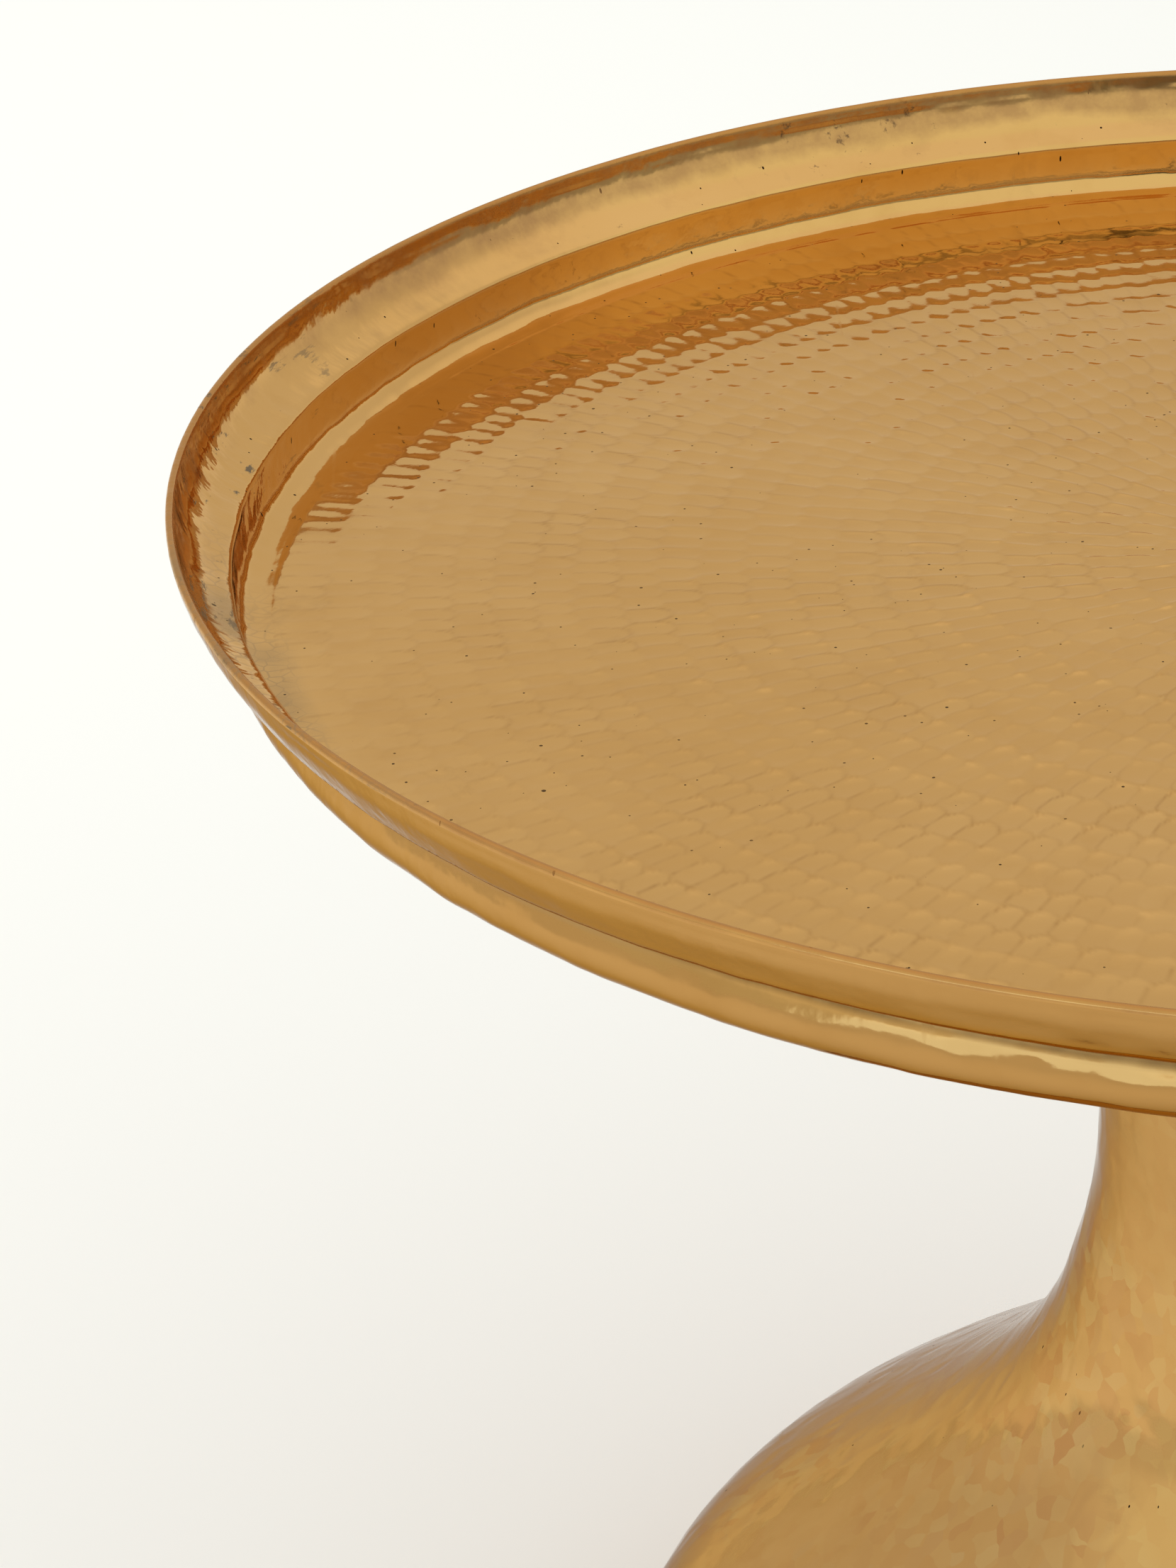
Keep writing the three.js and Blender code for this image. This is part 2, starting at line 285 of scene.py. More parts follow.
def brass(name, light, deep, rough, tray=False, edge=(0.95, 0.87, 0.74)):
    m, nt, b = new_mat(name)
    L = nt.links
    b.inputs["Metallic"].default_value = 1.0
    b.inputs["Specular Tint"].default_value = (*edge, 1.0)
    v = coords(nt)
    big = noise(nt, v, 9.0, 4.0, 0.55)
    col = mixc(nt, ramp(nt, big, [(0.35, (0, 0, 0)), (0.68, (1, 1, 1))]), light, deep)
    mid = noise(nt, v, 55.0, 4.0, 0.6)
    col = mixc(nt, ramp(nt, mid, [(0.52, (0, 0, 0)), (0.80, (0.5, 0.5, 0.5))]), col,
               tuple(c * k for c, k in zip(deep, (0.90, 0.86, 0.80))))
    # brown tarnish in thin wandering clouds
    cloud = noise(nt, coords(nt, (1, 1, 1)), 24.0, 8.0, 0.72, 0.6)
    tarn = ramp(nt, cloud, [(0.60, (0, 0, 0)), (0.76, (0.26, 0.26, 0.26))])
    col = mixc(nt, tarn, col, (0.33, 0.185, 0.075))
    rbase = map_range(nt, mid, 0.3, 0.7, rough * 0.75, rough * 1.3)
    outside = None
    if tray:
        ao = nt.nodes.new("ShaderNodeAttribute")
        ao.attribute_name = "outside"
        outside = ao.outputs["Fac"]
    # pits: a scatter of tiny dark specks, thicker in some patches, and a few larger ones
    crowd = noise(nt, v, 11.0, 2.0, 0.5)
    pit = None
    for scale, keep, spread, r0, r1 in ((300.0, 0.80 if tray else 0.96, 0.50, 0.05, 0.12),
                                        (115.0, 0.88 if tray else 1.10, 0.32, 0.025, 0.070)):
        vor = nt.nodes.new("ShaderNodeTexVoronoi")
        vor.inputs["Scale"].default_value = scale
        L.new(coords(nt, (1, 1, 0.3)), vor.inputs["Vector"])
        pick = nt.nodes.new("ShaderNodeSeparateColor")
        L.new(vor.outputs["Color"], pick.inputs[0])
        limit = math_(nt, "SUBTRACT", keep, map_range(nt, crowd, 0.52, 0.74, 0.0, spread))
        if tray:
            limit = math_(nt, "SUBTRACT", limit, math_(nt, "MULTIPLY", sector(nt, ringwise(nt, 90.0, 55.0)[1], 205.0, 0.80, 0.97), 0.07))
        chosen = math_(nt, "GREATER_THAN", pick.outputs[0], limit)
        size = map_range(nt, pick.outputs[1], 0.0, 1.0, r0, r1)
        dot = math_(nt, "LESS_THAN", vor.outputs["Distance"], size)
        one = math_(nt, "MULTIPLY", chosen, dot)
        pit = one if pit is None else math_(nt, "MAXIMUM", pit, one)
    if tray:
        pit = math_(nt, "MULTIPLY", pit, math_(nt, "SUBTRACT", 1.0, outside))
    col = mixc(nt, pit, col, (0.022, 0.010, 0.005))
    rr = math_(nt, "ADD", rbase, math_(nt, "MULTIPLY", pit, 0.4))
    rr = math_(nt, "ADD", rr, math_(nt, "MULTIPLY", tarn, 0.18), True)
    # hairline scratches: two very stretched noises
    s1 = noise(nt, coords(nt, (260, 9, 60)), 1.0, 2.0, 0.5)
    s2 = noise(nt, coords(nt, (11, 220, 60)), 1.0, 2.0, 0.5)
    sc = math_(nt, "ADD", ramp(nt, s1, [(0.70, (0, 0, 0)), (0.74, (1, 1, 1))]),
               ramp(nt, s2, [(0.71, (0, 0, 0)), (0.75, (1, 1, 1))]), True)
    rr = math_(nt, "ADD", rr, math_(nt, "MULTIPLY", sc, 0.10), True)
    if tray:
        r, z = radius_height(nt)
        # the ridges between the hammer marks keep a little tarnish, in patches
        at = nt.nodes.new("ShaderNodeAttribute")
        at.attribute_name = "wear"
        patch = noise(nt, v, 26.0, 4.0, 0.6)
        wfac = math_(nt, "MULTIPLY", at.outputs["Fac"],
                     ramp(nt, patch, [(0.40, (0.16, 0.16, 0.16)), (0.62, (0.80, 0.80, 0.80))]))
        col = mixc(nt, wfac, col, (0.47, 0.245, 0.075))
        # each blow left the metal a slightly different tone, and each dish carries painted shade, lighter at its inner
        # end and darker towards its outer side
        an = nt.nodes.new("ShaderNodeAttribute")
        an.attribute_name = "tone"
        col = mixc(nt, math_(nt, "MULTIPLY", an.outputs["Fac"], 0.42, True), col, tuple(c * k for c, k in zip(deep, (0.88, 0.83, 0.76))))
        # painted shade: the whole outside of the sheet is darkened, standing in for the dimmer surroundings its outward
        # faces reflect
        outside_painted_shade = mixc(nt, 1.0, col, (0.80, 0.735, 0.69), "MULTIPLY")
        col = mixc(nt, outside, col, outside_painted_shade)
        # brown tarnish creeping down the inside of the flared rim from the lip, with dark specks; on the far side it is
        # made heavier as a painted dark reflection
        inrim = math_(nt, "MULTIPLY", map_range(nt, r, 0.2862 * S, 0.2885 * S, 0.0, 1.0),
                      math_(nt, "SUBTRACT", 1.0, outside))
        cl = noise(nt, v, 34.0, 5.0, 0.65)
        up = map_range(nt, z, TOP_Z - 0.0150 * S, TOP_Z - 0.003 * S, 0.0, 0.30)
        polar, unit = ringwise(nt, 90.0, 55.0)
        far_side = sector(nt, unit, 108.0, 0.66, 0.92)
        # painted reflection: the upper far side of the rim is darkened further
        far_dark_reflection = math_(nt, "MULTIPLY", far_side, map_range(nt, z, TOP_Z - 0.0125 * S, TOP_Z - 0.0090 * S, 0.0, 0.26))
        up = math_(nt, "ADD", up, far_dark_reflection)
        veil = ramp(nt, math_(nt, "ADD", cl, up), [(0.56, (0, 0, 0)), (0.88, (0.84, 0.84, 0.84))])
        veil = math_(nt, "MULTIPLY", veil, map_range(nt, noise(nt, v, 120.0, 5.0, 0.7), 0.36, 0.62, 0.55, 1.0))
        veil = math_(nt, "MULTIPLY", veil, inrim)
        col = mixc(nt, veil, col, (0.455, 0.245, 0.095))
        rr = math_(nt, "ADD", rr, math_(nt, "MULTIPLY", veil, 0.14), True)
        sp = noise(nt, coords(nt, (1, 1, 1)), 150.0, 6.0, 0.72)
        grp = noise(nt, v, 15.0, 2.0, 0.5)
        sp = math_(nt, "ADD", sp, map_range(nt, grp, 0.46, 0.72, -0.10, 0.10))
        sp = ramp(nt, sp, [(0.60, (0, 0, 0)), (0.67, (0.85, 0.85, 0.85))])
        spots = math_(nt, "MULTIPLY", sp, inrim)
        col = mixc(nt, spots, col, (0.15, 0.085, 0.045))
        rr = math_(nt, "ADD", rr, math_(nt, "MULTIPLY", spots, 0.2), True)
        # painted reflection: a thin orange line round the inside of the lip, standing in for the reflection in the
        # lip's roll
        lip_reflection_line = math_(nt, "MULTIPLY", map_range(nt, r, RIM_R - 0.0005 * S, RIM_R + 0.0002 * S, 1.0, 0.30),
                     map_range(nt, z, TOP_Z - 0.0016 * S, TOP_Z - 0.0009 * S, 0.0, 0.85))
        col = mixc(nt, lip_reflection_line, col, (0.52, 0.240, 0.064))
        rr = math_(nt, "ADD", rr, math_(nt, "MULTIPLY", lip_reflection_line, 0.12), True)
        # old grey patina: short strokes along the sheet on the left of the rim, and arcs at
        # the foot of the wall where the polishing cloth never reached
        left = sector(nt, unit, 186.0, 0.80, 0.95)
        inner = math_(nt, "SUBTRACT", 1.0, outside)
        stroke = noise(nt, ringwise(nt, 75.0, 430.0)[0], 1.0, 4.0, 0.65)
        clump = noise(nt, v, 30.0, 3.0, 0.55)
        st = math_(nt, "ADD", stroke, map_range(nt, clump, 0.42, 0.68, -0.10, 0.12))
        st = ramp(nt, st, [(0.600, (0, 0, 0)), (0.660, (0.92, 0.92, 0.92))])
        st = math_(nt, "MULTIPLY", math_(nt, "MULTIPLY", st, left),
                   math_(nt, "MULTIPLY", inner, map_range(nt, r, 0.2840 * S, 0.2862 * S, 0.0, 1.0)))
        col = mixc(nt, st, col, (0.135, 0.110, 0.078))
        rr = math_(nt, "ADD", rr, math_(nt, "MULTIPLY", st, 0.22), True)
        wv_ = nt.nodes.new("ShaderNodeTexVoronoi")
        wv_.feature = "DISTANCE_TO_EDGE"
        wv_.inputs["Scale"].default_value = 250.0
        L.new(v, wv_.inputs["Vector"])
        arcs = map_range(nt, wv_.outputs["Distance"], 0.02, 0.12, 0.60, 0.0)
        blot = ramp(nt, clump, [(0.48, (0, 0, 0)), (0.66, (0.55, 0.55, 0.55))])
        arcs = math_(nt, "MULTIPLY", math_(nt, "MAXIMUM", arcs, blot), sector(nt, unit, 199.0, 0.93, 0.985))
        arcs = math_(nt, "MULTIPLY", arcs, math_(nt, "MULTIPLY", inner, map_range(nt, r, 0.2700 * S, 0.2770 * S, 0.0, 1.0)))
        arcs = math_(nt, "MULTIPLY", arcs, map_range(nt, clump, 0.40, 0.56, 0.25, 1.0))
        col = mixc(nt, arcs, col, (0.33, 0.225, 0.120))
        rr = math_(nt, "ADD", rr, math_(nt, "MULTIPLY", arcs, 0.2), True)
        # the same grey in and above the groove, on the left outside
        dz2 = math_(nt, "ABSOLUTE", math_(nt, "SUBTRACT", z, TOP_Z - 0.0172 * S))
        gp = math_(nt, "MULTIPLY", map_range(nt, dz2, 0.0012, 0.0040, 0.75, 0.0), sector(nt, unit, 205.0, 0.86, 0.97))
        gp = math_(nt, "MULTIPLY", math_(nt, "MULTIPLY", gp, outside), map_range(nt, cl, 0.30, 0.60, 0.35, 1.0))
        col = mixc(nt, gp, col, (0.375, 0.300, 0.205))
        rr = math_(nt, "ADD", rr, math_(nt, "MULTIPLY", gp, 0.22), True)
        # old polish left dark in the groove, with painted shade added there and widened on the front, for the shadowed
        # floor the groove's underside faces
        dz = math_(nt, "ABSOLUTE", math_(nt, "SUBTRACT", z, TOP_Z - 0.0183 * S))
        front = sector(nt, unit, 262.0, 0.82, 0.96)
        dz = math_(nt, "SUBTRACT", dz, math_(nt, "MULTIPLY", front, 0.0009))
        groove = math_(nt, "MULTIPLY", map_range(nt, dz, 0.0005, 0.0018, 0.78, 0.0),
                       map_range(nt, r, 0.2855 * S, 0.2860 * S, 0.0, 1.0))
        gn = noise(nt, v, 40.0, 3.0, 0.6)
        groove = math_(nt, "MULTIPLY", math_(nt, "MULTIPLY", groove, outside), map_range(nt, gn, 0.35, 0.65, 0.55, 1.0))
        col = mixc(nt, groove, col, (0.17, 0.085, 0.028))
        rr = math_(nt, "ADD", rr, math_(nt, "MULTIPLY", groove, 0.25), True)
        # painted reflection: an orange glow on the flare's lower edge at the front, above the groove
        flare_painted_glow = math_(nt, "MULTIPLY", map_range(nt, z, TOP_Z - 0.0112 * S, TOP_Z - 0.0145 * S, 0.0, 0.85),
                     math_(nt, "MULTIPLY", front, math_(nt, "GREATER_THAN", z, TOP_Z - 0.0172 * S)))
        col = mixc(nt, math_(nt, "MULTIPLY", flare_painted_glow, outside), col, (0.56, 0.262, 0.050))
        # painted shadow: a near-black band along the groove on the front of the tray
        dzf = math_(nt, "ABSOLUTE", math_(nt, "SUBTRACT", z, TOP_Z - 0.0187 * S))
        black = math_(nt, "MULTIPLY", map_range(nt, dzf, 0.0015, 0.0029, 0.94, 0.0), sector(nt, unit, 270.0, 0.920, 0.985))
        black = math_(nt, "MULTIPLY", math_(nt, "MULTIPLY", black, outside), map_range(nt, gn, 0.38, 0.60, 0.50, 1.0))
        col = mixc(nt, black, col, (0.045, 0.026, 0.012))
        rr = math_(nt, "ADD", rr, math_(nt, "MULTIPLY", black, 0.30), True)
    if not tray:
        # patches of tarnish with broken edges, following the planishing marks
        wob = nt.nodes.new("ShaderNodeTexNoise")
        wob.inputs["Scale"].default_value = 60.0
        wob.inputs["Detail"].default_value = 3.0
        L.new(v, wob.inputs["Vector"])
        va = nt.nodes.new("ShaderNodeVectorMath")
        va.operation = "MULTIPLY_ADD"
        va.inputs[1].default_value = (0.010, 0.010, 0.007)
        L.new(wob.outputs["Color"], va.inputs[0])
        L.new(v, va.inputs[2])
        vo = nt.nodes.new("ShaderNodeTexVoronoi")
        vo.inputs["Scale"].default_value = 175.0
        L.new(va.outputs[0], vo.inputs["Vector"])
        pc = nt.nodes.new("ShaderNodeSeparateColor")
        L.new(vo.outputs["Color"], pc.inputs[0])
        soft = ramp(nt, noise(nt, v, 20.0, 3.0, 0.6), [(0.42, (0.15, 0.15, 0.15)), (0.66, (1, 1, 1))])
        f1 = math_(nt, "MULTIPLY", ramp(nt, pc.outputs[0], [(0.40, (0, 0, 0)), (0.85, (0.60, 0.60, 0.60))]), soft)
        col = mixc(nt, f1, col, (0.535, 0.258, 0.090))
        f2 = math_(nt, "MULTIPLY", ramp(nt, pc.outputs[1], [(0.45, (0, 0, 0)), (0.90, (0.58, 0.58, 0.58))]), soft)
        col = mixc(nt, f2, col, (0.640, 0.430, 0.165))
    L.new(col, b.inputs["Base Color"])
    L.new(rr, b.inputs["Roughness"])
    bump = nt.nodes.new("ShaderNodeBump")
    bump.inputs["Strength"].default_value = 0.22
    bump.inputs["Distance"].default_value = 0.0004
    h = math_(nt, "ADD", math_(nt, "MULTIPLY", noise(nt, v, 160.0, 3.0, 0.55), 0.5),
              math_(nt, "MULTIPLY", pit, -1.0))
    L.new(h, bump.inputs["Height"])
    last = bump.outputs[0]
    if tray:
        fine_ = noise(nt, ringwise(nt, 165.0, 150.0)[0], 1.0, 2.5, 0.5)
        here = math_(nt, "MULTIPLY", map_range(nt, r, 0.2835 * S, 0.2860 * S, 0.0, 1.0),
                     map_range(nt, noise(nt, v, 16.0, 2.0, 0.5), 0.38, 0.60, 0.25, 1.0))
        here = math_(nt, "MULTIPLY", here, map_range(nt, sector(nt, unit, 176.0, 0.3, 0.95), 0.0, 1.0, 0.30, 1.0))
        b2 = nt.nodes.new("ShaderNodeBump")
        b2.inputs["Strength"].default_value = 1.0
        b2.inputs["Distance"].default_value = 0.00050
        L.new(math_(nt, "MULTIPLY", fine_, here), b2.inputs["Height"])
        L.new(last, b2.inputs["Normal"])
        last = b2.outputs[0]
    L.new(last, b.inputs["Normal"])
    return m


def plain_metal(name, col, rough):
    m, nt, b = new_mat(name)
    b.inputs["Metallic"].default_value = 1.0
    v = coords(nt)
    n1 = noise(nt, v, 70.0, 5.0, 0.6)
    n2 = noise(nt, v, 420.0, 2.0, 0.5)
    nt.links.new(mixc(nt, n1, col, tuple(c * 0.72 for c in col)), b.inputs["Base Color"])
    nt.links.new(map_range(nt, n1, 0.3, 0.7, rough * 0.8, rough * 1.3), b.inputs["Roughness"])
    bump = nt.nodes.new("ShaderNodeBump")
    bump.inputs["Strength"].default_value = 0.25
    bump.inputs["Distance"].default_value = 0.0003
    nt.links.new(n2, bump.inputs["Height"])
    nt.links.new(bump.outputs[0], b.inputs["Normal"])
    return m


def felt_mat(name, col):
    m, nt, b = new_mat(name)
    b.inputs["Sheen Weight"].default_value = 0.5
    b.inputs["Sheen Roughness"].default_value = 0.6
    v = coords(nt)
    n1 = noise(nt, v, 900.0, 5.0, 0.7)
    n2 = noise(nt, v, 60.0, 3.0, 0.5)
    c = mixc(nt, n1, tuple(x * 0.6 for x in col), tuple(x * 1.5 for x in col))
    nt.links.new(mixc(nt, ramp(nt, n2, [(0.4, (0, 0, 0)), (0.7, (0.3, 0.3, 0.3))]), c, tuple(x * 0.7 for x in col)),
                 b.inputs["Base Color"])
    nt.links.new(map_range(nt, n1, 0.3, 0.7, 0.85, 1.0), b.inputs["Roughness"])
    bump = nt.nodes.new("ShaderNodeBump")
    bump.inputs["Strength"].default_value = 0.7
    bump.inputs["Distance"].default_value = 0.0006
    nt.links.new(n1, bump.inputs["Height"])
    nt.links.new(bump.outputs[0], b.inputs["Normal"])
    return m


def rubber_mat(name):
    m, nt, b = new_mat(name)
    v = coords(nt)
    n1 = noise(nt, v, 300.0, 4.0, 0.6)
    n2 = noise(nt, v, 40.0, 3.0, 0.6)
    nt.links.new(mixc(nt, n2, (0.010, 0.010, 0.010), (0.030, 0.029, 0.028)), b.inputs["Base Color"])
    nt.links.new(map_range(nt, n1, 0.3, 0.7, 0.55, 0.8), b.inputs["Roughness"])
    bump = nt.nodes.new("ShaderNodeBump")
    bump.inputs["Strength"].default_value = 0.3
    bump.inputs["Distance"].default_value = 0.0003
    nt.links.new(n1, bump.inputs["Height"])
    nt.links.new(bump.outputs[0], b.inputs["Normal"])
    return m


BRASS_TRAY = brass("brass_tray", (0.735, 0.438, 0.153), (0.695, 0.402, 0.130), 0.07, tray=True)
BRASS_BACK = brass("brass_tray_back", (0.715, 0.430, 0.152), (0.675, 0.392, 0.128), 0.09, tray=True, edge=(0.60, 0.49, 0.38))
BRASS_PED = brass("brass_pedestal", (0.635, 0.370, 0.129), (0.590, 0.330, 0.109), 0.10, edge=(0.54, 0.47, 0.42))
STEEL = plain_metal("zinc_steel", (0.56, 0.56, 0.55), 0.38)
FELT = felt_mat("felt_green", (0.030, 0.050, 0.032))
RUBBER = rubber_mat("rubber_black")


def finish_piece(ob, mat, body, nodes):
    ob.data.materials.clear()
    ob.data.materials.append(mat)
    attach(ob, body)
    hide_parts(*nodes)
    return ob


# ------------------------------------------------------------------ tray
MM = 0.001 * S
N_TRAY = 1440


def blows(rows, th, ring_pitch, tang_pitch, r_out, r_in, depth, a_r, a_t, seed):
    """Depth field of hammer blows laid in rings. Each blow is a shallow oval dish; outer
    rings are struck after inner ones, so each blow's round inner end cuts the last ring."""
    g = np.random.default_rng(seed)
    H = np.zeros((len(rows), len(th)))
    E = np.zeros_like(H)
    T = np.zeros_like(H)
    radii = []
    r = r_in
    while r <= r_out + 1e-6:
        radii.append(r)
        r += ring_pitch * g.uniform(0.90, 1.10)
    phase = 0.0
    for R in radii:
        n = max(5, int(round(TAU * R / tang_pitch * g.uniform(0.94, 1.06))))
        step = TAU / n
        phase += 0.5 * step * g.uniform(0.6, 1.4)
        ring_d = g.uniform(0.92, 1.10)
        jt = g.normal(0, 0.065, n) * step
        jr = g.normal(0, 0.05, n) * ring_pitch
        dd = depth * ring_d * g.uniform(0.84, 1.16, n)
        tl = g.normal(0, 0.10, n)
        tr = g.normal(0, 0.09, n)
        ed = g.uniform(0.0, 1.0, n)
        tone = g.uniform(0.0, 0.55, n)
        sel = np.where(np.abs(rows - R) < a_r * 1.15)[0]
        if len(sel) == 0:
            continue
        rr = rows[sel][:, None]
        base = np.floor((th - phase) / step + 0.5).astype(int)
        for k in (-1, 0, 1):
            j = (base + k) % n
            cen = phase + (base + k) * step + jt[j]
            dt = (th - cen)[None, :] * rr
            dr = rr - (R + jr[j])[None, :]
            q = (dr / a_r) ** 2 + (dt / a_t) ** 2
            u = (dr + 0.20 * a_r) / (0.80 * a_r)
            rad = (u * u + (dt / (1.02 * a_t)) ** 2) ** 1.25
            dish = dd[j][None, :] * (rad - 1.0 + tl[j][None, :] * dt / a_t + tr[j][None, :] * dr / a_r)
            w = 1.0 - smooth(q, 0.80, 1.05)
            H[sel] = H[sel] * (1 - w) + dish * w
            side = np.clip(np.abs(dt) / (0.62 * a_t), 0.0, 1.0) ** 2
            band = np.exp(-((q - 0.86) / 0.15) ** 2) * (0.20 + 0.80 * ed[j][None, :]) * (0.45 + 0.55 * side)
            E[sel] = np.maximum(E[sel] * (1 - w), band)
            # each blow's own tone, plus painted shade across the dish: lighter at the inner end, darker outwards
            T[sel] = T[sel] * (1 - w) + w * (tone[j][None, :] + 0.22 + 0.30 * dr / a_r)
    return H, E, np.clip(T, 0.0, 1.0)


# The sheet's inside: from the centre of the floor out to the wall, up to the lip.
FLOOR_Z, UNDER = -33.3, -35.0
floor_rows = np.arange(0.9, 276.0, 1.15)
inside_wall = fine([[276.2, -33.3], [279.4, -33.1], [281.9, -32.3], [283.7, -30.9], [284.8, -29.2],
                    [285.15, -27.6], [285.3, -25.0], [285.3, -22.4], [285.2, -20.2], [285.0, -18.7],
                    [285.2, -17.5], [286.6, -16.4], [289.4, -15.1], [292.2, -13.3], [294.3, -11.0],
                    [295.7, -8.9], [296.6, -7.0], [297.2, -5.0], [297.6, -3.0], [297.9, -1.2]], 0.9)
lip = fine([[297.9, -1.2], [298.15, -0.45], [298.6, -0.06], [299.2, -0.02], [299.7, -0.25], [299.93, -0.7],
            [300.0, -1.4]], 0.35)
outside = fine([[300.0, -1.4], [299.6, -3.2], [298.8, -6.0], [297.1, -9.0], [295.2, -12.0],
                [293.4, -14.6], [291.2, -16.2], [288.8, -17.0], [287.0, -17.5], [286.15, -18.3],
                [286.3, -19.3], [286.85, -20.6], [287.45, -22.4], [287.95, -24.4], [288.05, -26.2], [287.5, -28.4],
                [285.9, -30.9], [283.6, -33.0], [280.6, -34.4], [276.6, -35.0], [270.0, -35.0]], 0.9)
under_rows = np.arange(266.0, 3.0, -5.0)
prof = np.vstack([
    np.stack([floor_rows, np.full(len(floor_rows), FLOOR_Z)], 1),
    inside_wall[:-1], lip[:-1], outside,
    np.stack([under_rows, np.full(len(under_rows), UNDER)], 1),
]) * MM + [0, 0]
prof[:, 1] += TOP_Z
th = np.arange(N_TRAY) / N_TRAY * TAU
nf, nw, nl, no = len(floor_rows), len(inside_wall) - 1, len(lip) - 1, len(outside)
D = np.zeros((len(prof), N_TRAY))
H, RIDGE, TONE_AND_SHADE = blows(floor_rows, th, 10.6, 7.1, 272.0, 5.0, 0.262, 8.2, 4.7, 5)
for k in range(2):                              # planished over: no sharp ridges
    H = 0.5 * H + 0.25 * (np.roll(H, 1, 1) + np.roll(H, -1, 1))
D[:nf] = H * (1 - 0.4 * smooth(floor_rows, 268.0, 275.5))[:, None] + 0.08
D[nf:nf + 10] += 0.08 * (1 - smooth(np.arange(10), 0, 9))[:, None]
WEAR = np.zeros((len(prof), N_TRAY))
WEAR[:nf] = RIDGE
SHADE = np.zeros((len(prof), N_TRAY))
SHADE[:nf] = TONE_AND_SHADE * (1 - smooth(floor_rows, 262.0, 274.0))[:, None]
BACK = np.zeros((len(prof), N_TRAY))            # 1 on the outside of the sheet, 0 inside
BACK[nf + nw + nl:] = 1.0
# slow unevenness of a hand-raised sheet, all round the wall and the rim
arc = np.concatenate([[0], np.cumsum(np.linalg.norm(np.diff(prof, axis=0), axis=1))]) / MM
TH, ARC = np.meshgrid(th, arc)
wob = (0.24 * periodic_noise(TH, ARC, 38, 20.0, 11) + 0.17 * periodic_noise(TH, ARC, 110, 9.0, 12)
       + 0.10 * periodic_noise(TH, ARC, 240, 6.0, 13) + 0.045 * periodic_noise(TH, ARC, 430, 7.0, 14)
       + 0.02 * periodic_noise(TH, ARC, 720, 3.5, 15))
wmask = np.zeros(len(prof))
wmask[nf:] = 1.0
wmask[nf:nf + 8] = np.linspace(0.0, 1, 8)
wmask[nf + nw - 4:nf + nw + nl + 4] = 0.22
wmask[nf + nw + nl + no:] = 0.5
D += wob * wmask[:, None]
ledge = np.exp(-((prof[:, 1] - TOP_Z + 22.6 * MM) / (3.4 * MM)) ** 2) * BACK[:, 0]
D += ledge[:, None] * (0.075 * periodic_noise(TH, ARC, 190, 4.2, 16) + 0.11 * periodic_noise(TH, ARC, 84, 6.5, 17)
                       + 0.042 * periodic_noise(TH, ARC, 330, 2.6, 18))
tray = revolve("tray_sheet", prof, N_TRAY, D * MM, pole=("first", "last"))
tray.data.flip_normals()
tv = np.empty(len(tray.data.vertices) * 3, np.float32)      # no bump stands past the lip's circle or top
tray.data.vertices.foreach_get("co", tv)
tv = tv.reshape(-1, 3)
rad_ = np.hypot(tv[:, 0], tv[:, 1])
cut = np.minimum(1.0, (RIM_R - 2e-6) / np.maximum(rad_, 1e-9))
tv[:, 0] *= cut
tv[:, 1] *= cut
tv[:, 2] = np.minimum(tv[:, 2], TOP_Z - 1e-6)
tray.data.vertices.foreach_set("co", tv.ravel())
tray.data.update()
tone_shade_attr = tray.data.attributes.new("tone", "FLOAT", "POINT")
tn = np.zeros(len(tray.data.vertices), np.float32)
tn[:SHADE.size] = SHADE.ravel()
tone_shade_attr.data.foreach_set("value", tn)
wear_at = tray.data.attributes.new("wear", "FLOAT", "POINT")
wv = np.zeros(len(tray.data.vertices), np.float32)
wv[:WEAR.size] = WEAR.ravel()
wear_at.data.foreach_set("value", wv)
back_at = tray.data.attributes.new("outside", "FLOAT", "POINT")
bv = np.ones(len(tray.data.vertices), np.float32)
bv[:BACK.size] = BACK.ravel()
bv[BACK.size] = 0.0
back_at.data.foreach_set("value", bv)
finish_piece(tray, BRASS_TRAY, "tray", ["tray"])
tray.data.materials.append(BRASS_BACK)                      # the outside of the sheet, from the lip down
npoly_ = len(tray.data.polygons)
kind = np.zeros(npoly_, np.int32)
kind[(nf + nw + nl) * N_TRAY:] = 1
kind[(len(prof) - 1) * N_TRAY:(len(prof) - 1) * N_TRAY + N_TRAY] = 0       # the fan at the floor's centre
tray.data.polygons.foreach_set("material_index", kind)
tray.data.update()

# ------------------------------------------------------------------ pedestal shells
N_PED = 620


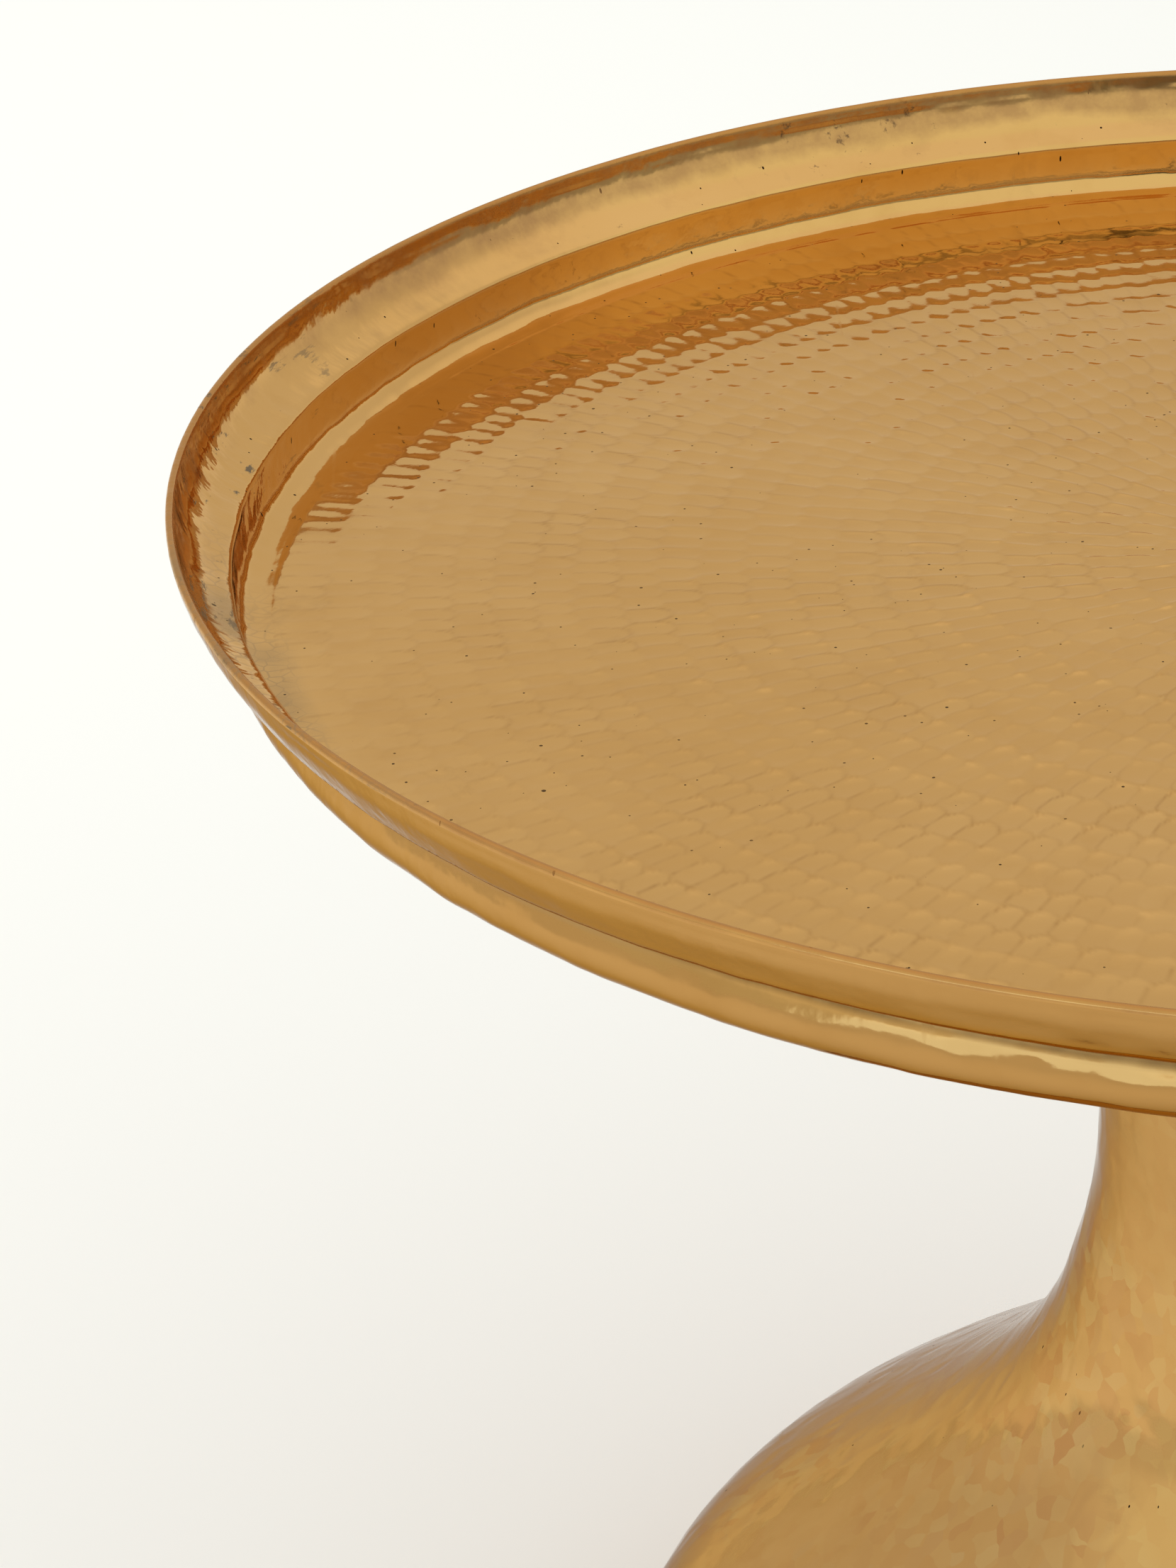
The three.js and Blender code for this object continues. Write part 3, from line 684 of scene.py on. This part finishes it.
def hammered(prof, nseg, size, depth, seed, mask=None):
    """Irregular planishing marks on a surface of revolution: overlapping shallow round dishes."""
    g = np.random.default_rng(seed)
    n = len(prof)
    arc = np.concatenate([[0], np.cumsum(np.linalg.norm(np.diff(prof, axis=0), axis=1))])
    th = np.arange(nseg) / nseg * TAU
    r = prof[:, 0]
    H = np.zeros((n, nseg))
    s = 0.0
    marks = []
    while s < arc[-1]:
        rad = np.interp(s, arc, r)
        k = max(6, int(TAU * rad / (size * 0.95)))
        ph = g.uniform(0, TAU)
        for i in range(k):
            marks.append((s + g.normal(0, size * 0.22), (ph + TAU * (i + g.normal(0, 0.22)) / k) % TAU,
                          size * g.uniform(0.55, 0.95), depth * g.uniform(0.5, 1.3)))
        s += size * 0.62
    g.shuffle(marks)
    for s0, t0, a, d in marks:
        sel = np.where(np.abs(arc - s0) < a * 1.1)[0]
        if len(sel) == 0:
            continue
        rad = max(np.interp(s0, arc, r), 1e-6)
        half = int(np.ceil(a * 1.1 / (rad * 0.9) / TAU * nseg)) + 1
        half = min(half, nseg // 2 - 1)
        c0 = int(round(t0 / TAU * nseg))
        cols = (np.arange(c0 - half, c0 + half + 1)) % nseg
        dt = (th[cols] - t0 + math.pi) % TAU - math.pi
        q = ((arc[sel] - s0)[:, None] / a) ** 2 + (dt[None, :] * r[sel][:, None] / a) ** 2
        dish = d * (q - 1.0)
        w = 1.0 - smooth(q, 0.55, 1.05)
        blk = H[np.ix_(sel, cols)]
        H[np.ix_(sel, cols)] = blk * (1 - w) + dish * w
    if mask is not None:
        H *= mask[:, None]
    return H


def shell(name, outer, inner, join_top, join_bottom, seed, size, depth):
    """Closed sheet shell: outer outline top to bottom, folded edge, inner outline back up."""
    o = fine(outer, 2.2)
    i = fine(inner, 6.0)
    parts = [o]
    if len(join_bottom):
        parts.append(np.array(join_bottom, float))
    parts.append(i[::-1])
    if len(join_top):
        parts.append(np.array(join_top, float))
    p = np.vstack(parts)
    D = np.zeros((len(p), N_PED))
    t = np.linspace(0, 1, len(o))
    m = smooth(t, 0.0, 0.02) * smooth(1 - t, 0.0, 0.02)
    D[:len(o)] = hammered(o, N_PED, size, depth, seed, m)
    arc = np.concatenate([[0], np.cumsum(np.linalg.norm(np.diff(o, axis=0), axis=1))])
    th = np.arange(N_PED) / N_PED * TAU
    TH, ARC = np.meshgrid(th, arc)
    D[:len(o)] += m[:, None] * (0.22 * periodic_noise(TH, ARC, 17, 34.0, seed + 1)
                                + 0.10 * periodic_noise(TH, ARC, 48, 13.0, seed + 2))
    return p, D


TOP = float(up_hi.z) / MM          # top of the pedestal's flange, mm
SEAM = (float(up_lo.z) + float(low_hi.z)) / 2 / MM
upper_out = [[104.6, TOP], [106.4, TOP - 1.0], [107.2, TOP - 3.4], [105.3, 392.5], [95.6, 369.5], [84.2, 342.0],
             [76.6, 320.0], [71.3, SEAM + 0.15]]
upper_in = [[103.4, TOP - 1.5], [103.7, 393.0], [94.2, 370.2], [82.8, 342.7], [75.2, 320.6], [69.8, SEAM + 0.15]]
p, D = shell("upper", upper_out, upper_in, [[68.0, TOP - 1.5], [68.0, TOP]], [], 31, 13.0, 0.24)
upper = revolve("pedestal_neck", p[::-1] * MM, N_PED, -D[::-1] * MM, close=True)
finish_piece(upper, BRASS_PED, "pedestal", ["pedestal_upper"])

lower_out = [[71.3, SEAM - 0.15], [67.6, 280], [65.6, 257], [65.4, 243], [66.4, 226], [70.6, 203.5], [77.4, 181], [86.4, 163], [99.4, 145],
             [117.4, 127], [140.2, 108], [170.0, 85], [188.5, 68.5], [200.0, 53], [207.2, 34.5], [210.8, 14],
             [211.0, 3.0]]
lower_in = [[69.8, SEAM - 0.15], [66.2, 281], [63.9, 248], [66.4, 217], [72.0, 193], [85.1, 162.3], [104.6, 137.4], [134.6, 110.6],
            [169.0, 83.9], [187.3, 67.5], [198.7, 52.1], [205.8, 34], [208.8, 17], [208.0, 12.5]]
p, D = shell("lower", lower_out, lower_in, [], [[208.0, 3.0]], 53, 13.0, 0.24)
lower = revolve("pedestal_foot", p[::-1] * MM, N_PED, -D[::-1] * MM, close=True)
finish_piece(lower, BRASS_PED, "pedestal", ["pedestal_lower"])

# ------------------------------------------------------------------ seat, sleeve and foot, finely made
import bmesh


def rounded(outline, rad, n=3):
    """Closed outline with every corner eased by a small arc."""
    p = np.asarray(outline, float)
    out = []
    for i in range(len(p)):
        a, b, c = p[i - 1], p[i], p[(i + 1) % len(p)]
        la, lc = np.linalg.norm(a - b), np.linalg.norm(c - b)
        k = min(rad, 0.45 * la, 0.45 * lc)
        s0, s1 = b + (a - b) / la * k, b + (c - b) / lc * k
        for t in np.linspace(0, 1, n + 1):
            out.append((1 - t) ** 2 * s0 + 2 * t * (1 - t) * b + t * t * s1)
    return np.array(out)


def face_out(ob):
    bm = bmesh.new()
    bm.from_mesh(ob.data)
    bmesh.ops.remove_doubles(bm, verts=bm.verts, dist=1e-7)
    bmesh.ops.recalc_face_normals(bm, faces=bm.faces)
    bm.to_mesh(ob.data)
    bm.free()
    return ob


def sharp_smooth(ob, deg):
    bm = bmesh.new()
    bm.from_mesh(ob.data)
    for e in bm.edges:
        if len(e.link_faces) == 2:
            e.smooth = e.calc_face_angle(0.0) < math.radians(deg)
    for f in bm.faces:
        f.smooth = True
    bm.to_mesh(ob.data)
    bm.free()
    return ob


def turned(name, outline, nseg, rad=0.4, disp=None):
    p = rounded(outline, rad) if rad else np.asarray(outline, float)
    d = disp(p, nseg) * MM if disp else None
    return face_out(revolve(name, p * MM, nseg, d, close=True))


def boolean(ob, tool, op="DIFFERENCE"):
    m = ob.modifiers.new("cut", "BOOLEAN")
    m.operation, m.solver, m.object = op, "EXACT", tool
    dg = bpy.context.evaluated_depsgraph_get()
    me = bpy.data.meshes.new_from_object(ob.evaluated_get(dg))
    ob.modifiers.clear()
    old = ob.data
    ob.data = me
    bpy.data.meshes.remove(old)
    return ob


def drop(ob):
    bpy.data.objects.remove(ob, do_unlink=True)


def spot(node):
    lo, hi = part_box(node)
    return (float(lo.x + hi.x) / 2, float(lo.y + hi.y) / 2), float(lo.z) / MM, float(hi.z) / MM


def place(ob, xy):
    v = np.empty(len(ob.data.vertices) * 3, np.float32)
    ob.data.vertices.foreach_get("co", v)
    v = v.reshape(-1, 3)
    v[:, 0] += xy[0]
    v[:, 1] += xy[1]
    ob.data.vertices.foreach_set("co", v.ravel())
    ob.data.update()
    return ob


# felt ring: soft edges, a trodden top and ravelled rims
_, f0, f1 = spot("seat_felt")


def felt_uneven(p, nseg):
    t = np.arange(nseg) / nseg * TAU
    arc_ = np.concatenate([[0], np.cumsum(np.linalg.norm(np.diff(p, axis=0), axis=1))])
    T, A = np.meshgrid(t, arc_)
    n = (0.16 * periodic_noise(T, A, 60, 7.0, 91) + 0.10 * periodic_noise(T, A, 190, 2.5, 92)
         + 0.05 * periodic_noise(T, A, 420, 1.2, 93))
    return -0.16 - np.abs(n)


flat = lambda r0, r1, z, k: [[r, z] for r in np.linspace(r0, r1, k)]
felt_outline = np.array(
    flat(71.0, 101.0, f0 + 0.05, 16) + [[101.7, f0 + 0.5], [101.9, (f0 + f1) / 2], [101.7, f1 - 0.5]]
    + flat(101.0, 71.0, f1 - 0.05, 16) + [[70.3, f1 - 0.5], [70.1, (f0 + f1) / 2], [70.3, f0 + 0.5]])
felt_ring = turned("felt_ring", felt_outline[::-1], 480, 0, lambda p, n: felt_uneven(p, n))
finish_piece(felt_ring, FELT, "turning_felt", ["seat_felt"])

# collar under the tray
_, c0, c1 = spot("tray_collar")
collar = turned("collar_ring", [[48.0, c1], [61.0, c1], [61.0, c0], [59.2, c0], [59.2, c1 - 1.8], [48.0, c1 - 1.8]],
                200, 0.5)
finish_piece(sharp_smooth(collar, 40), BRASS_PED, "tray", ["tray_collar"])

# seat plate with its four countersinks
_, s0, s1 = spot("seat_plate")
plate = turned("plate_ring", [[63.5, s0], [104.0, s0], [104.0, s1], [63.5, s1]], 200, 0.45)
SCREWS = [f"seat_screw_{i}" for i in (1, 2, 3, 4)]
for nm in SCREWS:
    tool = turned("tool", [[0.05, s0 - 5], [2.8, s0 - 5], [2.8, s1 - 2.4], [5.0, s1 - 0.2], [5.2, s1 + 1.0], [0.05, s1 + 1.0]],
                  40, 0)
    bm = bmesh.new()
    bm.from_mesh(tool.data)
    bmesh.ops.holes_fill(bm, edges=[e for e in bm.edges if e.is_boundary], sides=0)
    bm.to_mesh(tool.data)
    bm.free()
    place(tool, spot(nm)[0])
    boolean(plate, tool)
    drop(tool)
finish_piece(sharp_smooth(plate, 35), STEEL, "pedestal", ["seat_plate"])

# countersunk socket screws with a cut thread
_, z0, z1 = spot("seat_screw_1")


def thread(p, nseg):
    t = np.arange(nseg) / nseg
    d = np.zeros((len(p), nseg))
    for i, (r, z) in enumerate(p):
        if 2.3 < r < 2.6 and z0 + 0.7 < z < z1 - 3.2:
            ph = (z / 0.8 + t) % 1.0
            d[i] = -0.42 * np.abs(2 * ph - 1)
    return d


shank = [[2.5, z] for z in np.arange(z0 + 0.6, z1 - 2.6, 0.13)]
sp_ = np.array([[0.02, z0], [1.9, z0]] + shank + [[2.5, z1 - 2.2], [4.55, z1 - 0.12], [4.45, z1], [0.02, z1]])
screw = revolve("screw", sp_ * MM, 40, -thread(sp_, 40) * MM, pole=("first", "last"))
face_out(screw)
bpy.ops.mesh.primitive_cylinder_add(vertices=6, radius=1.55 * MM, depth=3.6 * MM, location=(0, 0, z1 * MM))
key = bpy.context.object
boolean(screw, key)
drop(key)
sharp_smooth(screw, 50)
for nm in SCREWS:
    ob = bpy.data.objects.new(nm.replace("seat_", "socket_"), screw.data.copy())
    bpy.context.scene.collection.objects.link(ob)
    place(ob, spot(nm)[0])
    finish_piece(ob, STEEL, "pedestal", [nm])
drop(screw)

# hexagon nuts, corners turned off on both faces
_, n0, n1 = spot("seat_nut_1")
bpy.ops.mesh.primitive_cylinder_add(vertices=6, radius=4.0 / math.cos(math.pi / 6) * MM, depth=(n1 - n0) * MM,
                                    location=(0, 0, (n0 + n1) / 2 * MM), rotation=(0, 0, math.radians(30)))
nut = bpy.context.object
bpy.ops.object.transform_apply(location=True, rotation=True, scale=True)
nut.name = "nut"
lens = turned("lens", [[2.83, n0 + 0.25], [3.1, n0], [3.95, n0], [4.75, n0 + 0.55], [4.75, n1 - 0.55], [3.95, n1],
                       [3.1, n1], [2.83, n1 - 0.25]], 60, 0)
boolean(nut, lens, "INTERSECT")
drop(lens)
sharp_smooth(nut, 30)
v_ = np.array([v.co[:] for v in nut.data.vertices])
lo_, hi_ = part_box("seat_nut_1")
turn = math.radians(90) if abs((hi_.x - lo_.x) - (v_[:, 0].max() - v_[:, 0].min())) > 0.0004 * S else 0.0
if turn:
    nut.data.transform(Matrix.Rotation(turn, 4, "Z"))
for i in (1, 2, 3, 4):
    ob = bpy.data.objects.new(f"hex_nut_{i}", nut.data.copy())
    bpy.context.scene.collection.objects.link(ob)
    place(ob, spot(f"seat_nut_{i}")[0])
    finish_piece(ob, STEEL, "pedestal", [f"seat_nut_{i}"])
drop(nut)

# sleeve across the seam
_, w0, w1 = spot("waist_sleeve")
so = fine([[66.2, w0], [69.2, w0 + 16], [72.9, w1]], 2.0)
si = so[::-1] - [1.5, 0]
sleeve = turned("seam_sleeve", np.vstack([so, si]), 200, 0)
finish_piece(sharp_smooth(sleeve, 40), BRASS_PED, "pedestal", ["waist_sleeve"])

# steel ring in the foot, and its six glides
_, g0, g1 = spot("foot_ring")
ring = turned("foot_hoop", [[186.0, g0], [207.6, g0], [207.6, g1], [186.0, g1]], 300, 0.4)
GLIDES = [f"glide_{i}" for i in range(1, 7)]
for nm in GLIDES:
    bpy.ops.mesh.primitive_cylinder_add(vertices=32, radius=2.8 * MM, depth=12 * MM,
                                        location=(*spot(nm)[0], (g0 + g1) / 2 * MM))
    tool = bpy.context.object
    boolean(ring, tool)
    drop(tool)
finish_piece(sharp_smooth(ring, 35), STEEL, "pedestal", ["foot_ring"])
_, q0, q1 = spot("glide_1")
gl = [[0.02, q0 + 0.35], [3.0, q0 + 0.3], [6.6, q0], [7.6, q0 + 0.05], [8.2, q0 + 0.45], [8.5, q0 + 1.1], [8.45, q0 + 2.6],
      [8.0, q0 + 3.35], [7.2, q0 + 3.68], [2.6, q0 + 3.7], [2.5, q0 + 3.9], [2.5, g1 + 0.3], [3.9, g1 + 0.32],
      [3.95, g1 + 0.6], [3.0, q1 - 0.3], [2.5, q1], [0.02, q1]]
glide = face_out(revolve("glide", np.array(gl) * MM, 56, pole=("first", "last")))
for nm in GLIDES:
    ob = bpy.data.objects.new(nm.replace("glide", "rubber_glide"), glide.data.copy())
    bpy.context.scene.collection.objects.link(ob)
    place(ob, spot(nm)[0])
    finish_piece(sharp_smooth(ob, 55), RUBBER, "pedestal", [nm])
drop(glide)

# ------------------------------------------------------------------ stage, light, camera
bpy.ops.mesh.primitive_plane_add(size=24, location=(0, 0, 0))
ground = bpy.context.object
ground.name = "studio_floor"
gm, gnt, gb = new_mat("studio_floor")
gb.inputs["Base Color"].default_value = (0.885, 0.877, 0.862, 1)
gb.inputs["Roughness"].default_value = 0.9
gb.inputs["Specular IOR Level"].default_value = 0.1
ground.data.materials.append(gm)

world = bpy.data.worlds.new("studio")
bpy.context.scene.world = world
world.use_nodes = True
wn = world.node_tree
bg = wn.nodes["Background"]
tc = wn.nodes.new("ShaderNodeTexCoord")
sp = wn.nodes.new("ShaderNodeSeparateXYZ")
wn.links.new(tc.outputs["Generated"], sp.inputs[0])


def step_node(src, a, b, c, d):
    m = wn.nodes.new("ShaderNodeMapRange")
    m.interpolation_type = "SMOOTHSTEP"
    for i, val in enumerate((a, b, c, d)):
        m.inputs[i + 1].default_value = val
    wn.links.new(src, m.inputs[0])
    return m.outputs[0]


def mix_node(fac, a, b):
    m = wn.nodes.new("ShaderNodeMix")
    m.data_type = "FLOAT"
    wn.links.new(fac, m.inputs[0])
    wn.links.new(a, m.inputs[2])
    wn.links.new(b, m.inputs[3])
    return m.outputs[0]


# a white room: even walls under a brighter ceiling, and a darker strip low down on the
# right of the camera
back = step_node(sp.outputs[2], 0.465, 0.74, 0.745, 0.94)
haze = step_node(sp.outputs[2], 0.02, 0.26, 0.085, 0.0)
add = wn.nodes.new("ShaderNodeMath")
add.operation = "ADD"
wn.links.new(back, add.inputs[0])
wn.links.new(haze, add.inputs[1])
back = add.outputs[0]
front = step_node(sp.outputs[2], 0.10, 0.24, 0.80, 0.94)
low = step_node(sp.outputs[2], 0.14, 0.19, 0.54, 1.0)
side = step_node(sp.outputs[1], -0.30, 0.25, 1.0, 0.0)
rad = mix_node(side, back, front)
dp = wn.nodes.new("ShaderNodeVectorMath")
dp.operation = "DOT_PRODUCT"
dp.inputs[1].default_value = (0.766, -0.643, 0.0)
wn.links.new(tc.outputs["Generated"], dp.inputs[0])
right_side = step_node(dp.outputs["Value"], 0.45, 0.70, 0.0, 1.0)
one = wn.nodes.new("ShaderNodeValue")
one.outputs[0].default_value = 1.0
dark = mix_node(right_side, one.outputs[0], low)
dw = wn.nodes.new("ShaderNodeVectorMath")
dw.operation = "DOT_PRODUCT"
dw.inputs[1].default_value = (-0.629, -0.777, 0.0)
wn.links.new(tc.outputs["Generated"], dw.inputs[0])
window = step_node(dw.outputs["Value"], 0.930, 0.965, 0.0, 0.70)
lowz = step_node(sp.outputs[2], 0.17, 0.24, 1.0, 0.0)
for src in (window,):
    wm = wn.nodes.new("ShaderNodeMath")
    wm.operation = "MULTIPLY_ADD"
    wn.links.new(src, wm.inputs[0])
    wn.links.new(lowz, wm.inputs[1])
    wm.inputs[2].default_value = 1.0
mul = wn.nodes.new("ShaderNodeMath")
mul.operation = "MULTIPLY"
wn.links.new(rad, mul.inputs[0])
wn.links.new(dark, mul.inputs[1])
mul2 = wn.nodes.new("ShaderNodeMath")
mul2.operation = "MULTIPLY"
wn.links.new(mul.outputs[0], mul2.inputs[0])
wn.links.new(wm.outputs[0], mul2.inputs[1])
# a dark upright panel to the right of the camera
dk = wn.nodes.new("ShaderNodeVectorMath")
dk.operation = "DOT_PRODUCT"
dk.inputs[1].default_value = (0.1908, -0.9816, 0.0)
wn.links.new(tc.outputs["Generated"], dk.inputs[0])
panel = step_node(dk.outputs["Value"], 0.9890, 0.9910, 0.0, 1.0)
panel_z = step_node(sp.outputs[2], 0.17, 0.22, 1.0, 0.0)
pz = wn.nodes.new("ShaderNodeMath")
pz.operation = "MULTIPLY"
wn.links.new(panel, pz.inputs[0])
wn.links.new(panel_z, pz.inputs[1])
pm = wn.nodes.new("ShaderNodeMath")
pm.operation = "MULTIPLY_ADD"
wn.links.new(pz.outputs[0], pm.inputs[0])
pm.inputs[1].default_value = -0.72
pm.inputs[2].default_value = 1.0
mul3 = wn.nodes.new("ShaderNodeMath")
mul3.operation = "MULTIPLY"
wn.links.new(mul2.outputs[0], mul3.inputs[0])
wn.links.new(pm.outputs[0], mul3.inputs[1])
rad = mul3.outputs[0]
wc = wn.nodes.new("ShaderNodeCombineColor")
pane = wn.nodes.new("ShaderNodeMath")
pane.operation = "MULTIPLY"
wn.links.new(window, pane.inputs[0])
wn.links.new(lowz, pane.inputs[1])
for i, (k, extra_, tint_) in enumerate(((1.0, 0.0, -0.08), (0.985, 0.06, 0.20), (0.965, 0.0, 0.72))):
    mm = wn.nodes.new("ShaderNodeMath")
    mm.operation = "MULTIPLY"
    kk = wn.nodes.new("ShaderNodeMath")
    kk.operation = "MULTIPLY_ADD"
    wn.links.new(side, kk.inputs[0])
    kk.inputs[1].default_value = extra_
    kk.inputs[2].default_value = k
    kw = wn.nodes.new("ShaderNodeMath")
    kw.operation = "MULTIPLY_ADD"
    wn.links.new(pane.outputs[0], kw.inputs[0])
    kw.inputs[1].default_value = tint_
    wn.links.new(kk.outputs[0], kw.inputs[2])
    wn.links.new(kw.outputs[0], mm.inputs[1])
    wn.links.new(rad, mm.inputs[0])
    wn.links.new(mm.outputs[0], wc.inputs[i])
wn.links.new(wc.outputs[0], bg.inputs[0])
bg.inputs[1].default_value = 1.0


def area(name, loc, target, size, power, color=(1, 1, 1)):
    l = bpy.data.lights.new(name, "AREA")
    l.shape = "RECTANGLE"
    l.size, l.size_y = size
    l.energy = power
    l.color = color
    o = bpy.data.objects.new(name, l)
    o.location = loc
    o.rotation_mode = "QUATERNION"
    o.rotation_quaternion = (Vector(target) - Vector(loc)).to_track_quat("-Z", "Y")
    o.visible_glossy = False
    bpy.context.scene.collection.objects.link(o)
    return o


area("back_softbox", (-0.9, 1.6, 2.4), (-0.7, 1.1, 0.0), (2.8, 2.4), 17, (1.0, 0.99, 0.975))
area("side_softbox", (-2.2, 0.1, 1.8), (-0.6, 0.2, 0.0), (1.8, 1.8), 7, (1.0, 0.99, 0.98))

F_PX, PITCH, ROLL = 6000.0, 0.46366, -0.0460
XC, YC, HC = 0.66365, 3.26892, 1.33696     # camera offset from the rim's centre, in rim radii
cam_data = bpy.data.cameras.new("camera")
cam_data.sensor_width = 36.0
cam_data.lens = F_PX * 36.0 / 2212.0
cam_data.clip_start, cam_data.clip_end = 0.01, 100
cam = bpy.data.objects.new("camera", cam_data)
right0 = Vector((1, 0, 0))
up0 = Vector((0, math.sin(PITCH), math.cos(PITCH)))
fwd = Vector((0, math.cos(PITCH), -math.sin(PITCH)))
right = math.cos(ROLL) * right0 + math.sin(ROLL) * up0
up = -math.sin(ROLL) * right0 + math.cos(ROLL) * up0
M = Matrix((right, up, -fwd)).transposed().to_4x4()
M.translation = Vector((-XC * RIM_R, -YC * RIM_R, TOP_Z + HC * RIM_R))
cam.matrix_world = M
bpy.context.scene.collection.objects.link(cam)
bpy.context.scene.camera = cam
bpy.context.scene.view_settings.view_transform = "Standard"
